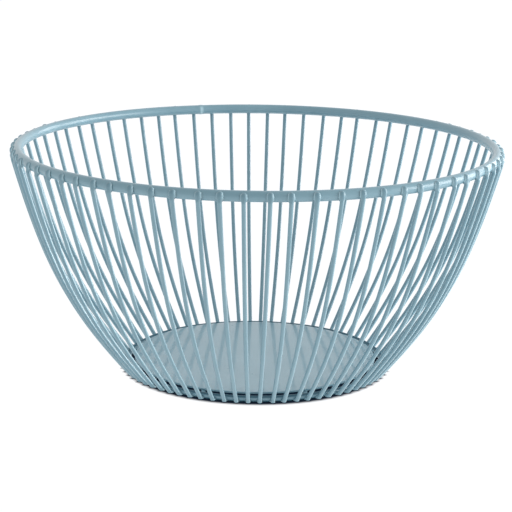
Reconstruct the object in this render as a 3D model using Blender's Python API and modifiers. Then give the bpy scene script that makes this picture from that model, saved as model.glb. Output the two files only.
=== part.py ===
"""Round wire basket: a hoop rim, seventy-two curved ribs, a base ring and a sheet-metal floor.

The basket stands on the plane z = 0 with its axis along z. Every length is in metres.
"""

import math

import bmesh
import bpy
import numpy as np
from mathutils import Matrix

# The gap that welded neighbours keep, and how far a length to be trimmed runs past its cut.
CLEARANCE = 0.0003
OVERRUN = 0.002

# Rim: one hoop of thick round wire. The radius and height are those of the wire's centre line.
RIM_RADIUS = 0.1198
RIM_HEIGHT = 0.1131
RIM_WIRE = 0.0055

# Base ring: a smaller hoop that lies on the table, inside the feet of the ribs.
RING_RADIUS = 0.0656
RING_WIRE = 0.003

# Ribs: thin wires welded to the outside of both hoops. A lean is the angle from upright, and a pull
# says how far the wire keeps its direction before it bends towards the other end. The welder presses
# each tip thin, down to a share of the wire.
RIB_WIRE = 0.00205
RIB_COUNT = 72
RIB_TOP_LEAN = math.radians(15.4)
RIB_FOOT_LEAN = math.radians(40.6)
RIB_TOP_PULL = 0.0548
RIB_FOOT_PULL = 0.0475
RIB_TIP_RISE = 0.0019
RIB_TIP_TAPER = 0.0018
RIB_TIP_SHARE = 0.45

# Every fourth rib is one piece with the base ring, bitten into it by the weld.
RIBS_PER_FIXED_RIB = 4
WELD_BITE = 0.0002

# Floor: a flat round sheet inside the base ring, carried by two cross wires.
FLOOR_THICKNESS = 0.0008
FLOOR_SLOT = 0.0019
FLOOR_EDGE_ROUND = 0.0002
CROSS_WIRE = 0.002
CROSS_SPACING = 0.05

# Facets of the round forms.
RIM_SIDES = 12
RING_SIDES = 8
RIB_BENDS = 6
WIRE_BEVEL_RESOLUTION = 2
WIRE_MERGE_SHARE = 0.001
EDGE_ROUND_SEGMENTS = 2
SMOOTH_ANGLE = math.radians(50.0)


def collection(name, hidden=False):
    made = bpy.data.collections.new(name)
    bpy.context.scene.collection.children.link(made)
    made.hide_render = hidden
    return made


def coat(name, colour, roughness):
    """Powder coat over steel: a coloured skin with a soft shine."""
    material = bpy.data.materials.new(name)
    material.use_nodes = True
    shader = material.node_tree.nodes["Principled BSDF"]
    shader.inputs["Base Color"].default_value = (*colour, 1.0)
    shader.inputs["Roughness"].default_value = roughness
    shader.inputs["Metallic"].default_value = 0.0
    return material


def shade_round(mesh):
    mesh.shade_smooth()
    mesh.set_sharp_from_angle(angle=SMOOTH_ANGLE)


def add_part(name, mesh, material, turn=0.0):
    """One named piece of the basket, turned about the basket's axis."""
    part = bpy.data.objects.new(name, mesh)
    part.rotation_euler.z = turn
    part.parent = basket
    if not mesh.materials:
        mesh.materials.append(material)
    parts.objects.link(part)


def adopt_primitive(name, height, material):
    """Names the primitive that was just added, lifts it to its height and moves it to the basket."""
    made = bpy.context.object
    made.name = name
    made.location.z = height
    made.parent = basket
    made.data.materials.append(material)
    for home in made.users_collection:
        home.objects.unlink(made)
    parts.objects.link(made)
    shade_round(made.data)
    return made


def hoop(name, radius, height, wire, sides, material):
    """A hoop of round wire with its centre line at the given radius and height."""
    bpy.ops.mesh.primitive_torus_add(
        major_segments=RIB_COUNT,
        minor_segments=sides,
        major_radius=radius,
        minor_radius=wire / 2,
    )
    return adopt_primitive(name, height, material)


def wire_mesh(name, points, wire, end_share=1.0):
    """A closed mesh of round wire along the points. Its first end narrows to end_share of the wire."""
    curve = bpy.data.curves.new(name, "CURVE")
    curve.dimensions = "3D"
    curve.bevel_depth = wire / 2
    curve.bevel_resolution = WIRE_BEVEL_RESOLUTION
    curve.use_fill_caps = True
    spline = curve.splines.new("POLY")
    spline.points.add(len(points) - 1)
    for place, point in zip(points, spline.points):
        point.co = (*place, 1.0)
    spline.points[0].radius = end_share
    guide = bpy.data.objects.new(name, curve)
    bpy.context.scene.collection.objects.link(guide)
    bpy.context.view_layer.update()
    drawn = guide.evaluated_get(bpy.context.evaluated_depsgraph_get())
    mesh = bpy.data.meshes.new_from_object(drawn)
    mesh.name = name
    bpy.data.objects.remove(guide)
    shape = bmesh.new()
    shape.from_mesh(mesh)
    bmesh.ops.remove_doubles(shape, verts=shape.verts, dist=wire * WIRE_MERGE_SHARE)
    shape.to_mesh(mesh)
    shape.free()
    return mesh


def beside(hoop_radius, hoop_height, reach, lean):
    """Where a leaning wire passes a hoop's wire, reach away from its centre and outside it."""
    return np.array((hoop_radius + reach * math.cos(lean), hoop_height - reach * math.sin(lean)))


def downward(lean):
    return np.array((-math.sin(lean), -math.cos(lean)))


def rib_line(foot_gap):
    """Radius and height down a rib's centre line, from its tip above the rim to below the table.

    Between its seats on the two hoops the rib is a cubic Bezier curve that leaves each seat at its
    lean. It runs straight above the upper seat and below the lower one.
    """
    top_reach = (RIM_WIRE + RIB_WIRE) / 2 + CLEARANCE
    foot_reach = (RING_WIRE + RIB_WIRE) / 2 + foot_gap
    top = beside(RIM_RADIUS, RIM_HEIGHT, top_reach, RIB_TOP_LEAN)
    foot = beside(RING_RADIUS, RING_WIRE / 2, foot_reach, RIB_FOOT_LEAN)
    top_knee = top + RIB_TOP_PULL * downward(RIB_TOP_LEAN)
    foot_knee = foot - RIB_FOOT_PULL * downward(RIB_FOOT_LEAN)
    along = np.linspace(0.0, 1.0, RIB_BENDS + 1)[:, None]
    back = 1.0 - along
    bend = (
        back**3 * top
        + 3 * back**2 * along * top_knee
        + 3 * back * along**2 * foot_knee
        + along**3 * foot
    )
    stub = (RIM_HEIGHT + RIB_TIP_RISE - top[1]) / math.cos(RIB_TOP_LEAN)
    tip = top - stub * downward(RIB_TOP_LEAN)
    shoulder = tip + RIB_TIP_TAPER * downward(RIB_TOP_LEAN)
    end = foot + OVERRUN * downward(RIB_FOOT_LEAN)
    return np.vstack((tip, shoulder, bend, end))


def rib_mesh(name, foot_gap):
    """One rib in the plane y = 0, its foot trimmed flat where it meets the table."""
    line = rib_line(foot_gap)
    points = np.column_stack((line[:, 0], np.zeros(len(line)), line[:, 1]))
    mesh = wire_mesh(name, points, RIB_WIRE, RIB_TIP_SHARE)
    shape = bmesh.new()
    shape.from_mesh(mesh)
    every_piece = [*shape.verts, *shape.edges, *shape.faces]
    bmesh.ops.bisect_plane(
        shape, geom=every_piece, plane_co=(0.0, 0.0, 0.0), plane_no=(0.0, 0.0, 1.0), clear_inner=True
    )
    rim_of_cut = [edge for edge in shape.edges if edge.is_boundary]
    bmesh.ops.holes_fill(shape, edges=rim_of_cut)
    bmesh.ops.recalc_face_normals(shape, faces=shape.faces)
    shape.to_mesh(mesh)
    shape.free()
    shade_round(mesh)
    return mesh


def rib_turn(number):
    """Ribs count from 1, counter-clockwise from above. The first stands half a step past the front."""
    step = math.tau / RIB_COUNT
    return -math.pi / 2 + (number - 1 / 2) * step


def fixed_ribs(name, numbers):
    """The ribs that are one with the base ring, as one helper for the union."""
    rib = rib_mesh("fixed_rib", -WELD_BITE)
    shape = bmesh.new()
    for number in numbers:
        turned = rib.copy()
        turned.transform(Matrix.Rotation(rib_turn(number), 4, "Z"))
        shape.from_mesh(turned)
    mesh = bpy.data.meshes.new(name)
    shape.to_mesh(mesh)
    shape.free()
    helper = bpy.data.objects.new(name, mesh)
    helper.display_type = "WIRE"
    helper.hide_render = True
    helpers.objects.link(helper)
    return helper


def add_base_ring(material, fixed_numbers):
    ring = hoop("base_ring", RING_RADIUS, RING_WIRE / 2, RING_WIRE, RING_SIDES, material)
    union = ring.modifiers.new("welded ribs", "BOOLEAN")
    union.operation = "UNION"
    union.solver = "EXACT"
    union.object = fixed_ribs("fixed_ribs", fixed_numbers)
    return ring


def add_floor(material):
    """The floor sheet, a thin disc with its edge broken, resting over the cross wires."""
    radius = RING_RADIUS - RING_WIRE / 2 - FLOOR_SLOT
    underside = RING_WIRE / 2 + CROSS_WIRE / 2 + CLEARANCE
    bpy.ops.mesh.primitive_cylinder_add(vertices=RIB_COUNT, radius=radius, depth=FLOOR_THICKNESS)
    floor = adopt_primitive("base_plate", underside + FLOOR_THICKNESS / 2, material)
    edge = floor.modifiers.new("broken edge", "BEVEL")
    edge.width = FLOOR_EDGE_ROUND
    edge.segments = EDGE_ROUND_SEGMENTS
    edge.limit_method = "ANGLE"
    edge.angle_limit = SMOOTH_ANGLE


def add_cross_wires(material):
    """Two straight wires across the base ring, end to end inside it, level with its centre."""
    aside = CROSS_SPACING / 2
    reach = RING_RADIUS - RING_WIRE / 2 - CLEARANCE
    half = math.sqrt(reach**2 - (aside + CROSS_WIRE / 2) ** 2)
    for name, x in (("cross_wire_left", -aside), ("cross_wire_right", aside)):
        ends = ((x, -half, RING_WIRE / 2), (x, half, RING_WIRE / 2))
        mesh = wire_mesh(name, ends, CROSS_WIRE)
        shade_round(mesh)
        add_part(name, mesh, material)


def add_ribs(material, fixed_numbers):
    mesh = rib_mesh("rib", CLEARANCE)
    for number in range(1, RIB_COUNT + 1):
        if number not in fixed_numbers:
            add_part(f"rib_{number:02d}", mesh, material, rib_turn(number))


for old in list(bpy.data.objects):
    bpy.data.objects.remove(old)

parts = collection("wire_basket")
helpers = collection("wire_basket_helpers", hidden=True)
basket = bpy.data.objects.new("basket", None)
parts.objects.link(basket)

fixed = range(RIBS_PER_FIXED_RIB, RIB_COUNT + 1, RIBS_PER_FIXED_RIB)
hoop("rim_hoop", RIM_RADIUS, RIM_HEIGHT, RIM_WIRE, RIM_SIDES, coat("rim_coat", (0.27, 0.41, 0.49), 0.38))
add_base_ring(coat("ring_coat", (0.22, 0.36, 0.44), 0.42), fixed)
add_ribs(coat("rib_coat", (0.24, 0.38, 0.46), 0.42), fixed)
add_floor(coat("floor_coat", (0.31, 0.44, 0.52), 0.36))
add_cross_wires(coat("cross_wire_coat", (0.22, 0.36, 0.44), 0.45))
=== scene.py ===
import math

import bpy
import numpy as np
from mathutils import Matrix, Vector


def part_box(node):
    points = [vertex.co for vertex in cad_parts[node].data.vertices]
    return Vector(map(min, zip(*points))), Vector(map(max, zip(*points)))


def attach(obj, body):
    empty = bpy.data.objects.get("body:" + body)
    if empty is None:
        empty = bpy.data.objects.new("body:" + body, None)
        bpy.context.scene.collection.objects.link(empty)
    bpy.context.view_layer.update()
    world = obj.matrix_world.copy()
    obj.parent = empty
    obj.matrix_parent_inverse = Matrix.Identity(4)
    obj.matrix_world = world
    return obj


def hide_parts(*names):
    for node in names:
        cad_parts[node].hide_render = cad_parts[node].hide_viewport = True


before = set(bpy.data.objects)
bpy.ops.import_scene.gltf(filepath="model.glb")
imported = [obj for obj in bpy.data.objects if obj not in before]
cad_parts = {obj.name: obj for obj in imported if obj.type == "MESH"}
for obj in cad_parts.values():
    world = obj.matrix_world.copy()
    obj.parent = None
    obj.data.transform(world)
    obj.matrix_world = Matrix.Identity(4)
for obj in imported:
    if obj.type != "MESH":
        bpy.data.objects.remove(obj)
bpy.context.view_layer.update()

# Rim hoop: one length of thick round steel wire, rolled to a circle and butt welded to itself. The
# joint is ground back to a faint collar, in a run that the rollers left slightly flat. The whole
# basket is powder coated once all its welds are made.

# The solids keep this gap at each weld. The hoops here are wider by as much, which closes it.
WELD_GAP = 0.0003

rim_low, rim_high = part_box("rim_hoop")
rim_wire = rim_high.z - rim_low.z
rim_radius = (rim_high.x - rim_low.x - rim_wire) / 2 + WELD_GAP
rim_height = (rim_high.z + rim_low.z) / 2

RIM_STATIONS = 864
RIM_SIDES = 28
RIM_WELD_TURN = math.radians(105.7)
RIM_COLLAR_RISE = 0.0002
RIM_COLLAR_WIDTH = 0.001
RIM_FLAT_DEPTH = 0.00035
RIM_FLAT_REACH = 0.016
RIM_SWAY = 0.0002

# A painted highlight lies at the rim's joint. It fades from the inner side of the wire
# towards the outer.
RIM_HIGHLIGHT_WIDTH = 0.0008
RIM_HIGHLIGHT_SHARE = 0.75
RIM_HIGHLIGHT_FADE = 1.4

# A hoop is out of round in two slow waves: how many to the turn, their share and their start.
HOOP_WAVES = ((2, 0.6, 0.7), (3, 0.4, 2.1))

# The coat's plain colour, and its colour where it is thin. Then the pale colour of painted
# highlights, and the dark colour of painted shade.
COAT_COLOUR = (0.191, 0.342, 0.416)
COAT_THIN = (0.219, 0.376, 0.450)
COAT_PAINTED_HIGHLIGHT = (0.57, 0.79, 0.87)
COAT_PAINTED_SHADE = (0.02, 0.10, 0.15)
COAT_IOR = 1.46

# Clouds of colour. The coat is plain up to one level of their noise, and thin from the other on.
COAT_CLOUD = 0.022
COAT_CLOUD_DETAIL = 3.0
COAT_CLOUD_PLAIN = 0.35
COAT_CLOUD_THIN = 0.7

# The size and depth of the fine orange peel and of the wider swells under it.
COAT_PEEL = 0.0011
COAT_PEEL_DEPTH = 0.000007
COAT_SWELL = 0.006
COAT_SWELL_DEPTH = 0.00004
COAT_BUMP_DETAIL = 1.0

# The roughness, with its spread over the clouds and over the peel. The shine of the clear skin, the
# share of it that the peel takes away, and its roughness.
COAT_ROUGHNESS = 0.38
COAT_CLOUD_ROUGHNESS = 0.10
COAT_PEEL_ROUGHNESS = 0.06
COAT_SHINE = 0.6
COAT_SHINE_DIP_SHARE = 0.4
COAT_SHINE_BLUR = 0.12
NOISE_MIDDLE = 0.5


class Socket:
    """One output in a node tree. Arithmetic on it adds Math nodes, and node() adds any other node."""

    def __init__(self, tree, output=None):
        self.tree = tree
        self.output = output

    def node(self, kind, settings=None, inputs=None, output=0):
        """Adds a node: its settings first, then what each of its sockets holds or links to."""
        made = self.tree.nodes.new(kind)
        for key, value in (settings or {}).items():
            setattr(made, key, value)
        for key, value in (inputs or {}).items():
            if isinstance(value, Socket):
                self.tree.links.new(value.output, made.inputs[key])
            else:
                made.inputs[key].default_value = value
        return Socket(self.tree, made.outputs[output])

    def math(self, operation, *terms):
        return self.node("ShaderNodeMath", {"operation": operation}, dict(enumerate(terms)))

    def __add__(self, other):
        return self.math("ADD", self, other)

    def __radd__(self, other):
        return self.math("ADD", other, self)

    def __sub__(self, other):
        return self.math("SUBTRACT", self, other)

    def __rsub__(self, other):
        return self.math("SUBTRACT", other, self)

    def __mul__(self, other):
        return self.math("MULTIPLY", self, other)

    def __rmul__(self, other):
        return self.math("MULTIPLY", other, self)

    def between(self, low, high):
        """Nothing at low, one at high, and a straight climb from one to the other."""
        inputs = {"Value": self, "From Min": low, "From Max": high}
        return self.node("ShaderNodeMapRange", {"clamp": True}, inputs)

    def mix(self, first, second):
        """The first colour where this is nothing, and the second where it is one."""
        inputs = {0: self, 6: first, 7: second}
        return self.node("ShaderNodeMix", {"data_type": "RGBA"}, inputs, 2)

    def noise(self, size, detail, seed):
        """Cloudy noise over this place, with lumps of about the given size in metres."""
        inputs = {"Vector": self, "W": seed, "Scale": 1 / size, "Detail": detail}
        return self.node("ShaderNodeTexNoise", {"noise_dimensions": "4D"}, inputs)

    def into(self, shader, name):
        self.tree.links.new(self.output, shader.inputs[name])


def powder_coat(
    name,
    seed,
    roughness=COAT_ROUGHNESS,
    shine_blur=COAT_SHINE_BLUR,
    peel_depth=COAT_PEEL_DEPTH,
):
    """Baked powder coat, cloudy in colour, with a fine orange peel.

    The mesh carries two marks: a painted highlight, where the coat is paler, and painted shade,
    named lean, where it is darker and loses the clear skin's shine. The coat's height is the
    peel's noise times the peel's depth, plus the swell's noise times the swell's depth, in metres.
    """
    material = bpy.data.materials.new(name)
    material.use_nodes = True
    tree = material.node_tree
    shader = tree.nodes["Principled BSDF"]
    shader.inputs["IOR"].default_value = COAT_IOR
    shader.inputs["Coat Roughness"].default_value = shine_blur
    place = Socket(tree).node("ShaderNodeTexCoord", output="Object")
    # Two painted marks: a highlight, and painted shade in the mark named lean.
    thick = place.node("ShaderNodeAttribute", {"attribute_name": "thick"}, output="Fac")
    lean = place.node("ShaderNodeAttribute", {"attribute_name": "lean"}, output="Fac")
    cloud = place.noise(COAT_CLOUD, COAT_CLOUD_DETAIL, seed)
    peel = place.noise(COAT_PEEL, COAT_BUMP_DETAIL, seed + 1)
    swell = place.noise(COAT_SWELL, COAT_BUMP_DETAIL, seed + 2)
    thin = cloud.between(COAT_CLOUD_PLAIN, COAT_CLOUD_THIN)
    colour = thin.mix((*COAT_COLOUR, 1.0), (*COAT_THIN, 1.0))
    colour = thick.mix(colour, (*COAT_PAINTED_HIGHLIGHT, 1.0))
    colour = lean.mix(colour, (*COAT_PAINTED_SHADE, 1.0))
    colour.into(shader, "Base Color")
    rough = roughness + COAT_CLOUD_ROUGHNESS * (cloud - NOISE_MIDDLE)
    rough = rough + COAT_PEEL_ROUGHNESS * (peel - NOISE_MIDDLE)
    rough.into(shader, "Roughness")
    shine = COAT_SHINE * (1.0 - COAT_SHINE_DIP_SHARE * peel) * (1.0 - lean)
    shine.into(shader, "Coat Weight")
    height = peel * peel_depth + swell * COAT_SWELL_DEPTH
    inputs = {"Strength": 1.0, "Distance": 1.0, "Height": height}
    height.node("ShaderNodeBump", inputs=inputs).into(shader, "Normal")
    return material


def turns_round(count):
    """Turns in even steps, from nothing up to the last step before a whole turn."""
    return np.linspace(0.0, math.tau, count, endpoint=False)


def hoop_rings(
    radius,
    height,
    wire,
    stations,
    sides,
    joint_turn,
    collar_rise,
    collar_width,
    flat_depth,
    flat_reach,
    sway,
):
    """A torus with one joint in it.

    A point at turn u and angle v round the wire lies at (R + w cos v) from the axis and at height
    h + w sin v. R is the radius less a dip that fades with distance from the joint, plus the sway's
    slow waves. Half the wire is reached by w only at the joint, where a narrow collar swells.
    """
    u = turns_round(stations)[:, None]
    v = turns_round(sides)[None, :]
    away = radius * np.abs((u - joint_turn + math.pi) % math.tau - math.pi)
    waves = sum(share * np.cos(count * u + start) for count, share, start in HOOP_WAVES)
    r = radius - flat_depth * np.exp(-away / flat_reach) + sway * waves
    w = wire / 2 - collar_rise + collar_rise * np.exp(-((away / collar_width) ** 2))
    out = r + w * np.cos(v)
    return np.stack((out * np.cos(u), out * np.sin(u), height + w * np.sin(v)), axis=-1)


def skin(name, rings, loop=False, **marks):
    """A smooth mesh over closed rings of points, where each face joins four neighbours of the grid.

    With loop the last ring joins the first, as on a hoop. Without it each end closes on its middle.
    A grid that comes out inside out, with a negative volume, is turned the other way round. Each
    mark is an attribute with one value for each point of the rings.
    """
    rows, sides = rings.shape[:2]
    index = np.arange(rows * sides).reshape(rows, sides)
    beside = np.roll(index, -1, axis=1)
    across = np.roll(beside, -1, axis=0)
    below = np.roll(index, -1, axis=0)
    quads = np.stack((index, beside, across, below), axis=-1)
    if not loop:
        quads = quads[:-1]
    quads = quads.reshape(-1, 4)
    points = rings.reshape(-1, 3)
    fans = np.zeros((0, 3), int)
    if not loop:
        first, last = len(points), len(points) + 1
        points = np.vstack((points, rings[0].mean(axis=0), rings[-1].mean(axis=0)))
        start = np.column_stack((np.full(sides, first), beside[0], index[0]))
        end = np.column_stack((np.full(sides, last), index[-1], beside[-1]))
        fans = np.vstack((start, end))
    a, b, c = (points[quads[:, corner]] for corner in (0, 1, 2))
    if np.einsum("ij,ij->", a - points.mean(axis=0), np.cross(b - a, c - a)) < 0:
        quads, fans = quads[:, ::-1], fans[:, ::-1]
    mesh = bpy.data.meshes.new(name)
    mesh.vertices.add(len(points))
    mesh.vertices.foreach_set("co", points.astype(np.float32).ravel())
    corners = np.concatenate((quads.ravel(), fans.ravel()))
    mesh.loops.add(len(corners))
    mesh.loops.foreach_set("vertex_index", corners.astype(np.int32))
    mesh.polygons.add(len(quads) + len(fans))
    quad_starts = np.arange(len(quads)) * 4
    fan_starts = len(quads) * 4 + np.arange(len(fans)) * 3
    starts = np.concatenate((quad_starts, fan_starts))
    mesh.polygons.foreach_set("loop_start", starts.astype(np.int32))
    mesh.update(calc_edges=True)
    mesh.validate()
    for mark, values in marks.items():
        everywhere = np.zeros(len(points), np.float32)
        everywhere[: rows * sides] = np.broadcast_to(values, (rows, sides)).ravel()
        mesh.attributes.new(mark, "FLOAT", "POINT").data.foreach_set("value", everywhere)
    mesh.shade_smooth()
    return mesh


def add_piece(name, mesh, material, slot, *nodes):
    """A finished piece that rides on the basket and stands for the given nodes."""
    mesh.materials.append(material)
    piece = bpy.data.objects.new(name, mesh)
    bpy.context.scene.collection.objects.link(piece)
    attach(piece, "root")
    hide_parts(*nodes)


rim_rings = hoop_rings(
    radius=rim_radius,
    height=rim_height,
    wire=rim_wire,
    stations=RIM_STATIONS,
    sides=RIM_SIDES,
    joint_turn=RIM_WELD_TURN,
    collar_rise=RIM_COLLAR_RISE,
    collar_width=RIM_COLLAR_WIDTH,
    flat_depth=RIM_FLAT_DEPTH,
    flat_reach=RIM_FLAT_REACH,
    sway=RIM_SWAY,
)
# Along the hoop the painted highlight is a narrow bell, exp(-(distance / width) squared). Round
# the wire it is whole on the inner side, and falls off in proportion to the cosine of the angle.
from_joint = rim_radius * (turns_round(RIM_STATIONS)[:, None] - RIM_WELD_TURN)
at_joint = np.exp(-((from_joint / RIM_HIGHLIGHT_WIDTH) ** 2))
inner_side = np.clip(1 - RIM_HIGHLIGHT_FADE * (1 + np.cos(turns_round(RIM_SIDES))), 0.0, 1.0)
rim_mesh = skin("rim_wire", rim_rings, loop=True, thick=RIM_HIGHLIGHT_SHARE * at_joint * inner_side)
rim_coat = powder_coat("rim_powder_coat", seed=1.0)
add_piece("rim_wire", rim_mesh, rim_coat, "rim_coat", "rim_hoop")

# Base ring: thinner round wire, rolled and butt welded the same way. It lies on the table inside
# the feet of the ribs, which are all welded to its outer side. Its top, between the feet and the
# sheet, and its underside are darkened with painted shade.

# The ring's solid holds some of the ribs too, so its size here comes from the sheet inside it.
sheet_low, sheet_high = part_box("base_plate")
sheet_radius = (sheet_high.x - sheet_low.x) / 2
SHEET_SLOT = 0.0019
RING_WIRE = 0.003
ring_radius = sheet_radius + SHEET_SLOT + RING_WIRE / 2 + WELD_GAP

RING_STATIONS = 576
RING_SIDES = 20
RING_WELD_TURN = math.radians(200.0)
RING_COLLAR_RISE = 0.00006
RING_COLLAR_WIDTH = 0.001
RING_FLAT_DEPTH = 0.0002
RING_FLAT_REACH = 0.01

# The levels on the wire, as shares of its half thickness: the middle one, and how far above or
# below that the painted shade starts and is whole.
RING_MIDDLE_SHARE = 0.1
RING_SHADE_START_SHARE = 0.25
RING_SHADE_END_SHARE = 0.6

ring_rings = hoop_rings(
    radius=ring_radius,
    height=RING_WIRE / 2,
    wire=RING_WIRE,
    stations=RING_STATIONS,
    sides=RING_SIDES,
    joint_turn=RING_WELD_TURN,
    collar_rise=RING_COLLAR_RISE,
    collar_width=RING_COLLAR_WIDTH,
    flat_depth=RING_FLAT_DEPTH,
    flat_reach=RING_FLAT_REACH,
    sway=0.0,
)
off_middle = np.abs(np.sin(turns_round(RING_SIDES)) - RING_MIDDLE_SHARE) - RING_SHADE_START_SHARE
ring_painted_shade = np.clip(off_middle / (RING_SHADE_END_SHARE - RING_SHADE_START_SHARE), 0.0, 1.0)
# The mark named lean is the painted shade.
ring_mesh = skin("base_ring_wire", ring_rings, loop=True, lean=ring_painted_shade)
ring_coat = powder_coat("ring_powder_coat", seed=2.0)
add_piece("base_ring_wire", ring_mesh, ring_coat, "ring_coat", "base_ring")

# Ribs: seventy-two thin steel wires, bent to one curve and welded to the outside of both hoops.
# The welder presses each hot tip round the rim, into which it sinks, flat and tapered. Each foot is
# trimmed level with the table. The powder coat fills the corners beside the welds.

RIB_WIRE = 0.00205
RIB_COUNT = 72
# Every fourth rib is in the ring's solid.
RIBS_PER_RING_RIB = 4

# The middle line. A lean is the angle from upright, and a pull says how far the wire keeps its
# direction before it bends towards the other end. The bite is how deep it is welded into a hoop,
# the wrap how far it follows the rim's wire, and the runout how far it runs below the ring.
RIB_TOP_LEAN = math.radians(15.4)
RIB_FOOT_LEAN = math.radians(40.6)
RIB_TOP_PULL = 0.0548
RIB_FOOT_PULL = 0.0475
RIB_BITE = 0.00026
RIB_WRAP = math.radians(95.0)
RIB_RUNOUT = 0.004
RIB_BEND_POINTS = 400
RIB_WRAP_POINTS = 80
rim_reach = (rim_wire + RIB_WIRE) / 2 - RIB_BITE
ring_reach = (RING_WIRE + RIB_WIRE) / 2 - RIB_BITE

# The tip: its rise above the middle of the rim's wire, with the spread from rib to rib, its taper,
# how deep its end is pressed in, and the share of the wire to which it is flattened. The wire stays
# flat to just below the upper seat, and is round again one fade further down.
RIB_TIP_RISE = 0.0025
RIB_TIP_SPREAD = 0.0003
RIB_TIP_TAPER = 0.003
RIB_TIP_PRESS = 0.0003
RIB_FLAT_SHARE = 0.75
RIB_FLAT_END = 0.0002
RIB_FLAT_FADE = 0.0016

# The rounding of the trimmed foot, how far a rib swings from its even place at either end, and the
# seed of the swings.
RIB_FOOT_ROUND = 0.0003
RIB_TOP_SWING = math.radians(0.45)
RIB_FOOT_SWING = math.radians(0.25)
RIB_SEED = 72

# The welds: the radius of the fillet, how deep its edge sinks into the hoop, how far it runs along
# the rib, which is further on the tip's side, and the length over which it fades out. The least
# cosine keeps the hoop's skin, as seen from the rib's middle, at a finite distance.
WELD_FILLET = 0.0006
WELD_SINK = 0.00003
WELD_REACH = 0.0014
WELD_TIP_REACH = 0.0055
WELD_FADE = 0.0009
WELD_LEAST_COSINE = 0.2

# A painted highlight lies in the corners beside the tip, at a turn from the hoop's side of the
# wire, and painted shade on the tip's face. Both fade out over one length below the upper seat.
CORNER_HIGHLIGHT_SHARE = 0.68
TIP_MARK_LENGTH = 0.0016
CORNER_HIGHLIGHT_TURN = math.radians(80.0)
CORNER_HIGHLIGHT_SPREAD = math.radians(24.0)
TIP_SHADE_SHARE = 0.3
TIP_SHADE_SPREAD = math.radians(50.0)

# A painted highlight runs as a pale line down the side of each rib that faces one direction. The
# line is faint at the top and whole further down. Round the basket it fades towards the back, and
# is gone where the sine of a rib's turn is above the far one.
EDGE_HIGHLIGHT_SHARE = 0.9
EDGE_HIGHLIGHT_TURN = math.radians(-30.0)
EDGE_HIGHLIGHT_SPREAD = math.radians(17.0)
EDGE_HIGHLIGHT_TOP_SHARE = 0.35
EDGE_HIGHLIGHT_LENGTH = 0.075
EDGE_HIGHLIGHT_FAR_SINE = 0.6

# How many rings of points each stretch of a rib has, and how often the cut at the foot is refined.
TIP_RINGS = 9
WELD_RINGS = 15
FREE_RINGS = 39
RUN_RINGS = 11
TRIM_RINGS = 4
CUT_ROUNDS = 8
# The turns round the wire, in degrees from the hoop's side, at which one half of a ring has its
# points. They stand close where the fillet lies, and further apart on the free side.
RIB_SIDE_TURNS = (0, 20, 38, 50, 57, 62, 67, 72, 78, 86, 97, 111, 127, 145, 163)


def seat(hoop_radius, hoop_height, reach, lean):
    """Where a leaning wire passes a hoop's wire, reach away from its centre and outside it."""
    return np.array((hoop_radius + reach * math.cos(lean), hoop_height - reach * math.sin(lean)))


def downward(lean):
    """The way down a wire at the given lean, as a step in radius and a step in height."""
    return np.array((-math.sin(lean), -math.cos(lean)))


def after(start, end, count):
    """Even steps that follow start and finish on end."""
    return np.linspace(start, end, count + 1)[1:]


def eased(share):
    """Climbs from nothing to one with level ends: three times the square less twice the cube."""
    return share * share * (3 - 2 * share)


def rib_line():
    """How far along it is, the radius, the height and the lean of points down a rib's middle line.

    Between its seats the rib is a cubic Bezier curve that leaves each seat at its lean. Above the
    upper seat, where the distance along is nothing, it is an arc round the middle of the rim's
    wire. Below the lower seat it runs straight.
    """
    top = seat(rim_radius, rim_height, rim_reach, RIB_TOP_LEAN)
    foot = seat(ring_radius, RING_WIRE / 2, ring_reach, RIB_FOOT_LEAN)
    top_knee = top + RIB_TOP_PULL * downward(RIB_TOP_LEAN)
    foot_knee = foot - RIB_FOOT_PULL * downward(RIB_FOOT_LEAN)
    t = np.linspace(0.0, 1.0, RIB_BEND_POINTS)[:, None]
    back = 1.0 - t
    bend = back**3 * top + 3 * back**2 * t * top_knee + 3 * back * t**2 * foot_knee + t**3 * foot
    round_rim = np.linspace(RIB_WRAP, 0.0, RIB_WRAP_POINTS, endpoint=False) - RIB_TOP_LEAN
    arc = np.column_stack((np.cos(round_rim), np.sin(round_rim)))
    head = np.array((rim_radius, rim_height)) + rim_reach * arc
    tail = foot + RIB_RUNOUT * downward(RIB_FOOT_LEAN)
    line = np.vstack((head, bend, tail))
    steps = np.diff(line, axis=0)
    lengths = np.hypot(steps[:, 0], steps[:, 1])
    along = np.concatenate(((0.0,), np.cumsum(lengths))) - rim_reach * RIB_WRAP
    way = np.gradient(line, along, axis=0)
    lean = np.arctan2(-way[:, 0], -way[:, 1])
    return along, line[:, 0], line[:, 1], lean


def fallen(offset, hoop_wire):
    """How far a hoop's round wire has fallen away from a straight line that touches it."""
    hoop = hoop_wire / 2
    return hoop - np.sqrt(np.maximum(hoop**2 - offset**2, 0.0))


def filleted_radius(angle, offset, thickness, line, tip_side_reach):
    """How far a rib's surface is from its middle line near a weld.

    The angle is measured from the direction of the hoop, and the offset is the distance along the
    rib from the weld, negative towards the rib's tip. The rib's section is a circle, and the hoop's
    skin a straight line at the given distance. The fillet is a hollow arc that touches both.
    """
    rib = thickness / 2
    centre = line - WELD_FILLET
    spread = np.sqrt(np.maximum((rib + WELD_FILLET) ** 2 - centre**2, 0.0))
    meets_line = np.arctan2(spread, line)
    meets_rib = np.arctan2(spread, centre)
    toward = centre * np.cos(angle) + spread * np.sin(angle)
    inside = toward**2 - (rib + WELD_FILLET) ** 2 + WELD_FILLET**2
    arc = toward - np.sqrt(np.maximum(inside, 0.0))
    straight = line / np.maximum(np.cos(angle), WELD_LEAST_COSINE)
    full = np.where(angle < meets_line, straight, np.where(angle < meets_rib, arc, rib))
    reach = np.where(offset < 0.0, tip_side_reach, WELD_REACH)
    share = np.clip((reach + WELD_FADE - np.abs(offset)) / WELD_FADE, 0.0, 1.0)
    return rib + eased(share) * np.maximum(full - rib, 0.0)


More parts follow.
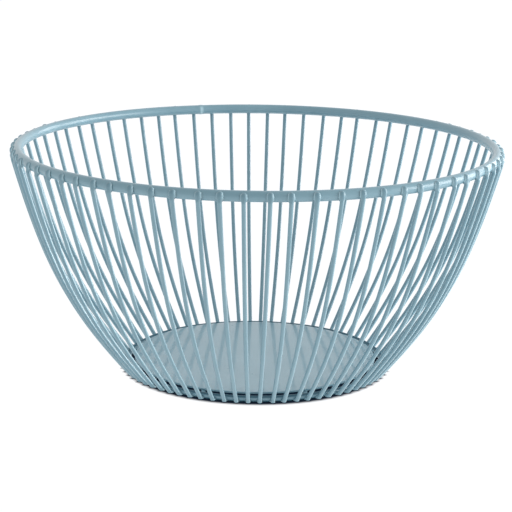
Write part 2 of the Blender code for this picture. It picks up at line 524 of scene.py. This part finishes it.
def coat_marks(places, turn, angle):
    """How strong the painted highlight and the painted shade are at each point of a rib.

    Each mark is a share times a bell, exp(-(angle off its middle / spread) squared), times a
    straight climb or fall along the rib. The painted highlight is that of the corners or of the
    edge line, whichever is more.
    """
    half_angle = np.minimum(angle, math.tau - angle)[None, :]
    near_tip = np.clip(1 - places / TIP_MARK_LENGTH, 0.0, 1.0)
    in_corner = np.exp(-(((half_angle - CORNER_HIGHLIGHT_TURN) / CORNER_HIGHLIGHT_SPREAD) ** 2))
    on_face = np.exp(-(((math.pi - half_angle) / TIP_SHADE_SPREAD) ** 2))
    off_edge_highlight = (turn + math.pi - angle - EDGE_HIGHLIGHT_TURN + math.pi) % math.tau - math.pi
    facing = np.exp(-((off_edge_highlight / EDGE_HIGHLIGHT_SPREAD) ** 2))
    near_side = np.clip(EDGE_HIGHLIGHT_FAR_SINE - np.sin(turn), 0.0, 1.0)
    down_rib = np.clip(EDGE_HIGHLIGHT_TOP_SHARE + places / EDGE_HIGHLIGHT_LENGTH, 0.0, 1.0)
    corner_highlight = CORNER_HIGHLIGHT_SHARE * in_corner * near_tip
    edge_highlight = EDGE_HIGHLIGHT_SHARE * facing * near_side * down_rib
    return np.maximum(corner_highlight, edge_highlight), TIP_SHADE_SHARE * on_face * near_tip


def rib_rings(top_turn, foot_turn, tip_rise):
    """The rings of points of one rib, with its painted highlight and painted shade at each.

    A point lies at its place along the middle line plus a radius times (cos a inward + sin a
    sideways). Over the tip the wire's thickness shrinks as a parabola while its inner side stays in
    the rim and sinks deeper, and it is wider than its thickness where it is flattened. The last
    rings follow the table's plane, where the place along the line is the one at which each point
    reaches the ring's height.
    """
    along, radius, height, lean = rib_line()
    turns = np.radians(RIB_SIDE_TURNS)
    angle = np.concatenate((turns, (math.pi,), math.tau - turns[:0:-1]))
    half_angle = np.minimum(angle, math.tau - angle)[None, :]
    tip = -rim_reach * (RIB_TOP_LEAN + math.asin(tip_rise / (rim_wire / 2)))
    foot = along[-1] - RIB_RUNOUT
    weld_end = WELD_REACH + WELD_FADE
    tip_at = tip + RIB_TIP_TAPER * (1 - np.cos(after(0.0, math.pi / 2, TIP_RINGS)))
    weld = after(tip_at[-1], weld_end, WELD_RINGS)
    free = after(weld_end, foot - weld_end - RIB_WIRE, FREE_RINGS)
    straight = np.concatenate((tip_at, weld, free))

    def flatness(place):
        below = np.clip((place - RIB_FLAT_END) / RIB_FLAT_FADE, 0.0, 1.0)
        return RIB_FLAT_SHARE + (1 - RIB_FLAT_SHARE) * eased(below)

    def thickness(place):
        left = np.clip((place - tip) / RIB_TIP_TAPER, 0.0, 1.0)
        return RIB_WIRE * flatness(place) * (1 - (1 - left) ** 2)

    def pressed(place):
        return RIB_TIP_PRESS * np.clip(place / tip, 0.0, 1.0) ** 2

    def surface_radius(place):
        wire = thickness(place)
        rim_fall = np.where(place < 0.0, 0.0, fallen(place, rim_wire))
        ring_fall = fallen(place - foot, RING_WIRE)
        rim_line = wire / 2 - RIB_BITE - pressed(place) + WELD_SINK + rim_fall
        ring_line = wire / 2 - RIB_BITE + WELD_SINK + ring_fall
        near_rim = filleted_radius(half_angle, place, wire, rim_line, WELD_TIP_REACH)
        near_ring = filleted_radius(half_angle, place - foot, wire, ring_line, WELD_REACH)
        return np.where(place < foot / 2, near_rim, near_ring)

    def place_at_height(level):
        place = np.full((1, len(angle)), foot)
        for _ in range(CUT_ROUNDS):
            rise = surface_radius(place) * np.cos(angle) * np.sin(np.interp(place, along, lean))
            place = np.interp(level - rise, height[::-1], along[::-1])
        return place

    first_cut = place_at_height(RIB_FOOT_ROUND)
    run = straight[-1] + after(0.0, 1.0, RUN_RINGS)[:, None] * (first_cut - straight[-1])
    quarter = after(0.0, math.pi / 2, TRIM_RINGS)
    trim = [place_at_height(RIB_FOOT_ROUND * (1 - math.sin(bend))) for bend in quarter]
    trim_inset = RIB_FOOT_ROUND * (1 - np.cos(quarter))[:, None]
    places = np.vstack((np.repeat(straight[:, None], len(angle), axis=1), run, *trim))
    inset = np.vstack((np.zeros((len(straight) + len(run), 1)), trim_inset))
    reach = surface_radius(places) - inset
    spread = thickness(places) / 2 * (1 / flatness(places) ** 2 - 1)
    inward = reach * np.cos(angle) + pressed(places) + (RIB_WIRE - thickness(places)) / 2
    sideways = (reach + spread) * np.sin(angle)
    leaning = np.interp(places, along, lean)
    out = np.interp(places, along, radius) - inward * np.cos(leaning)
    up = np.interp(places, along, height) + inward * np.sin(leaning)
    turn = top_turn + (foot_turn - top_turn) * np.clip(places / foot, 0.0, 1.0)
    x = out * np.cos(turn) - sideways * np.sin(turn)
    y = out * np.sin(turn) + sideways * np.cos(turn)
    rings = np.stack((x, y, np.maximum(up, 0.0)), axis=-1)
    return rings, *coat_marks(places, turn, angle)


rib_coat = powder_coat("rib_powder_coat", seed=3.0)
chance = np.random.default_rng(RIB_SEED)
for number in range(1, RIB_COUNT + 1):
    even_turn = -math.pi / 2 + (number - 1 / 2) * math.tau / RIB_COUNT
    top_turn = even_turn + chance.uniform(-RIB_TOP_SWING, RIB_TOP_SWING)
    foot_turn = even_turn + chance.uniform(-RIB_FOOT_SWING, RIB_FOOT_SWING)
    tip_rise = RIB_TIP_RISE - chance.uniform(0.0, RIB_TIP_SPREAD)
    # Each rib's marks are a painted highlight and, in lean, painted shade.
    rings, thick, lean = rib_rings(top_turn, foot_turn, tip_rise)
    mesh = skin(f"rib_wire_{number:02d}", rings, thick=thick, lean=lean)
    on_ring = number % RIBS_PER_RING_RIB == 0
    node = "base_ring" if on_ring else f"rib_{number:02d}"
    add_piece(f"rib_wire_{number:02d}", mesh, rib_coat, "rib_coat", node)

# Floor sheet: a round blank of thin steel sheet with its sheared edge broken. It is welded from
# below to the two cross wires, inside the ring and clear of it. Pressing and the oven leave it a
# little out of flat.

sheet_thickness = sheet_high.z - sheet_low.z
SHEET_EDGE_ROUND = 0.00015
SHEET_EDGE_RINGS = 4
SHEET_SIDES = 288
SHEET_RINGS = 36
SHEET_WARP = 0.00012
SHEET_WARP_WAVES = 2
SHEET_WARP_TURN = 0.9
SHEET_ROUGHNESS = 0.3
SHEET_SHINE_BLUR = 0.05
SHEET_PEEL_DEPTH = 0.000002


def sheet_rings():
    """A flat disc whose section is a long box with rounded ends, turned about the axis.

    The rings run from the middle out over the top, round the edge and back in underneath. All
    heights are lifted by a warp of a few waves to the turn that grows with the square of the radius.
    """
    edge = min(SHEET_EDGE_ROUND, sheet_thickness / 2)
    flat = sheet_radius - edge
    out = np.linspace(flat / SHEET_RINGS, flat, SHEET_RINGS)
    bend = after(0.0, math.pi / 2, SHEET_EDGE_RINGS)
    top = np.full(len(out), sheet_high.z)
    upper = np.concatenate((top, sheet_high.z - edge * (1 - np.cos(bend))))
    radius = np.concatenate((out, flat + edge * np.sin(bend)))
    lower = sheet_low.z + sheet_high.z - upper
    radius = np.concatenate((radius, radius[::-1]))[:, None]
    height = np.concatenate((upper, lower[::-1]))[:, None]
    turn = turns_round(SHEET_SIDES)[None, :]
    waves = np.cos(SHEET_WARP_WAVES * turn + SHEET_WARP_TURN)
    warp = SHEET_WARP * (radius / sheet_radius) ** 2 * waves
    return np.stack((radius * np.cos(turn), radius * np.sin(turn), height + warp), axis=-1)


sheet_coat = powder_coat(
    "floor_powder_coat",
    seed=4.0,
    roughness=SHEET_ROUGHNESS,
    shine_blur=SHEET_SHINE_BLUR,
    peel_depth=SHEET_PEEL_DEPTH,
)
add_piece("floor_sheet", skin("floor_sheet", sheet_rings()), sheet_coat, "floor_coat", "base_plate")

# Cross wires: two straight steel wires across the base ring, butted to its inner side and welded.
# They carry the floor sheet and are seen only from below.

CROSS_BITE = 0.0001
CROSS_SIDES = 20
CROSS_STATIONS = 60
CROSS_CROWDING = 2.2
CROSS_FILLET = 0.0006
# The fillet at an end rises no more than this over the wire, and so stays under the sheet.
CROSS_FILLET_RISE = 0.0001


def cross_rings(x, height, wire):
    """A straight round bar along Y whose ends flare, as exp(-distance / fillet), into the ring.

    Its stations crowd towards the ends. At a share t of the way out, one stands at 1 - (1 - t) to
    the power of the crowding.
    """
    half = math.sqrt((ring_radius - RING_WIRE / 2 + CROSS_BITE) ** 2 - x**2)
    y = np.linspace(-half, half, CROSS_STATIONS)
    y = np.sign(y) * half * (1 - (1 - np.abs(y) / half) ** CROSS_CROWDING)
    flare = wire / 2 + CROSS_FILLET * np.exp(-(half - np.abs(y)) / CROSS_FILLET)
    turn = turns_round(CROSS_SIDES)[None, :]
    flare = flare[:, None]
    across = x + flare * np.cos(turn)
    up = height + np.clip(flare * np.sin(turn), -height, wire / 2 + CROSS_FILLET_RISE)
    return np.stack((across, np.repeat(y[:, None], CROSS_SIDES, axis=1), up), axis=-1)


cross_coat = powder_coat("cross_wire_powder_coat", seed=5.0)
for side in ("left", "right"):
    low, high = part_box(f"cross_wire_{side}")
    rings = cross_rings((low.x + high.x) / 2, (low.z + high.z) / 2, high.z - low.z)
    mesh = skin(f"cross_bar_{side}", rings)
    add_piece(f"cross_bar_{side}", mesh, cross_coat, "cross_wire_coat", f"cross_wire_{side}")

# Studio: a wide white floor under a soft sky, with two soft boxes at the right. The sky is dimmest
# above and on the camera's side, and brightest below, in place of the light that a white floor
# throws back. The floor shows as white, with the basket's painted shadow, and is clear from below.

WHITE = (1.0, 1.0, 1.0, 1.0)
FLOOR_HALF = 6.0
FLOOR_COLOUR = (0.92, 0.92, 0.92, 1.0)
# Painted shadow: the dark colour the camera sees where the floor's glow is masked off.
PAINTED_SHADOW_COLOUR = (0.02, 0.035, 0.06, 1.0)
FLOOR_ROUGHNESS = 0.9
FLOOR_MIRRORED_GLOW = 0.44

# A painted contact shadow darkens the floor close to the wires, where no more than one share of
# what lies round a spot is open, and clears from the other share on.
CONTACT_DISTANCE = 0.002
CONTACT_DARK_SHARE = 0.45
CONTACT_CLEAR_SHARE = 0.85
CONTACT_SAMPLES = 16

# A painted shadow darkens it under the sheet too, in a disc that lies a little nearer to the
# camera and fades out between these radii.
SHADOW_SHIFT = 0.0035
SHADOW_CORE = 0.066
SHADOW_EDGE = 0.069

# The sky's strength from the left and the right, from the front and the back, from below and above.
SKY_ACROSS = (0.85, 0.97)
SKY_ALONG = (0.71, 0.95)
SKY_UPRIGHT = (1.4, 0.6)

floor_mesh = bpy.data.meshes.new("studio_floor")
corners = [(x * FLOOR_HALF, y * FLOOR_HALF, 0.0) for x, y in ((-1, -1), (1, -1), (1, 1), (-1, 1))]
floor_mesh.from_pydata(corners, [], [(0, 1, 2, 3)])
floor = bpy.data.objects.new("studio_floor", floor_mesh)
bpy.context.scene.collection.objects.link(floor)
floor.visible_diffuse = False

paper = bpy.data.materials.new("studio_paper")
paper.use_nodes = True
paper_shader = paper.node_tree.nodes["Principled BSDF"]
paper_shader.inputs["Roughness"].default_value = FLOOR_ROUGHNESS
paper_shader.inputs["Specular IOR Level"].default_value = 0.0
paper_shader.inputs["Emission Color"].default_value = WHITE
start = Socket(paper.node_tree)
seen = start.node("ShaderNodeLightPath", output="Is Camera Ray")
mirrored = start.node("ShaderNodeLightPath", output="Is Glossy Ray")
inputs = {"Distance": CONTACT_DISTANCE}
open_sky = start.node("ShaderNodeAmbientOcclusion", {"samples": CONTACT_SAMPLES}, inputs, "AO")
off_wires = open_sky.between(CONTACT_DARK_SHARE, CONTACT_CLEAR_SHARE)
spot = start.node("ShaderNodeTexCoord", output="Object")
inputs = {0: spot, 1: (0.0, SHADOW_SHIFT, 0.0)}
spot = spot.node("ShaderNodeVectorMath", {"operation": "ADD"}, inputs)
away = spot.node("ShaderNodeVectorMath", {"operation": "LENGTH"}, {0: spot}, 1)
clear = away.between(SHADOW_CORE, SHADOW_EDGE) * off_wires
glow = (seen + mirrored * FLOOR_MIRRORED_GLOW) * clear
behind = start.node("ShaderNodeNewGeometry", output="Backfacing")
seen.mix(FLOOR_COLOUR, PAINTED_SHADOW_COLOUR).into(paper_shader, "Base Color")
glow.into(paper_shader, "Emission Strength")
(1.0 - behind).into(paper_shader, "Alpha")
floor_mesh.materials.append(paper)

# The sky is plain white where the camera sees it. Elsewhere each of its six sides gives its strength
# times the square of the direction's part towards that side.
world = bpy.data.worlds.new("studio")
bpy.context.scene.world = world
world.use_nodes = True
sky = world.node_tree.nodes["Background"]
sky.inputs["Color"].default_value = WHITE
start = Socket(world.node_tree)
seen = start.node("ShaderNodeLightPath", output="Is Camera Ray")
toward = start.node("ShaderNodeTexCoord", output="Generated")
lit = 0.0
for axis, strengths in (("X", SKY_ACROSS), ("Y", SKY_ALONG), ("Z", SKY_UPRIGHT)):
    part = toward.node("ShaderNodeSeparateXYZ", inputs={0: toward}, output=axis)
    for limit, strength in zip((-1.0, 1.0), strengths):
        side = part.between(0.0, limit)
        lit = lit + strength * (side * side)
level = lit * (1.0 - seen) + seen
level.into(sky, "Strength")


def soft_box(name, place, width, height, power):
    """A rectangular lamp, in metres and watts, that looks at the middle of the basket."""
    light = bpy.data.lights.new(name, "AREA")
    light.shape = "RECTANGLE"
    light.size = width
    light.size_y = height
    light.energy = power
    lamp = bpy.data.objects.new(name, light)
    lamp.location = place
    aim = Vector((0.0, 0.0, rim_height / 2)) - lamp.location
    lamp.rotation_euler = aim.to_track_quat("-Z", "Y").to_euler()
    bpy.context.scene.collection.objects.link(lamp)


soft_box("edge_strip", place=(0.7, 0.75, 0.12), width=0.35, height=0.8, power=3.0)
soft_box("far_right_box", place=(1.1, 0.05, 0.25), width=1.1, height=0.7, power=13.0)

# Camera: at the photograph's viewpoint, a step away and a little above the rim, with a long lens.
# Its place, pitch and roll come from a fit to the rim, the ribs and the base in the photograph.

CAMERA_DISTANCE = 0.912
CAMERA_RISE = math.radians(10.42)
CAMERA_PITCH = math.radians(13.88)
CAMERA_ROLL = math.radians(0.7)
CAMERA_SENSOR = 36.0
FRAME_PIXELS = 512
FOCAL_PIXELS = 1801.5

view = bpy.data.cameras.new("photo_camera")
view.sensor_width = CAMERA_SENSOR
view.lens = FOCAL_PIXELS / FRAME_PIXELS * CAMERA_SENSOR
camera = bpy.data.objects.new("photo_camera", view)
bpy.context.scene.collection.objects.link(camera)
above_rim = CAMERA_DISTANCE * math.sin(CAMERA_RISE)
place = Vector((0.0, -CAMERA_DISTANCE * math.cos(CAMERA_RISE), rim_height + above_rim))
aim = Matrix.Rotation(math.pi / 2 - CAMERA_PITCH, 4, "X") @ Matrix.Rotation(CAMERA_ROLL, 4, "Z")
camera.matrix_world = Matrix.Translation(place) @ aim
bpy.context.scene.camera = camera
bpy.context.scene.view_settings.view_transform = "Standard"
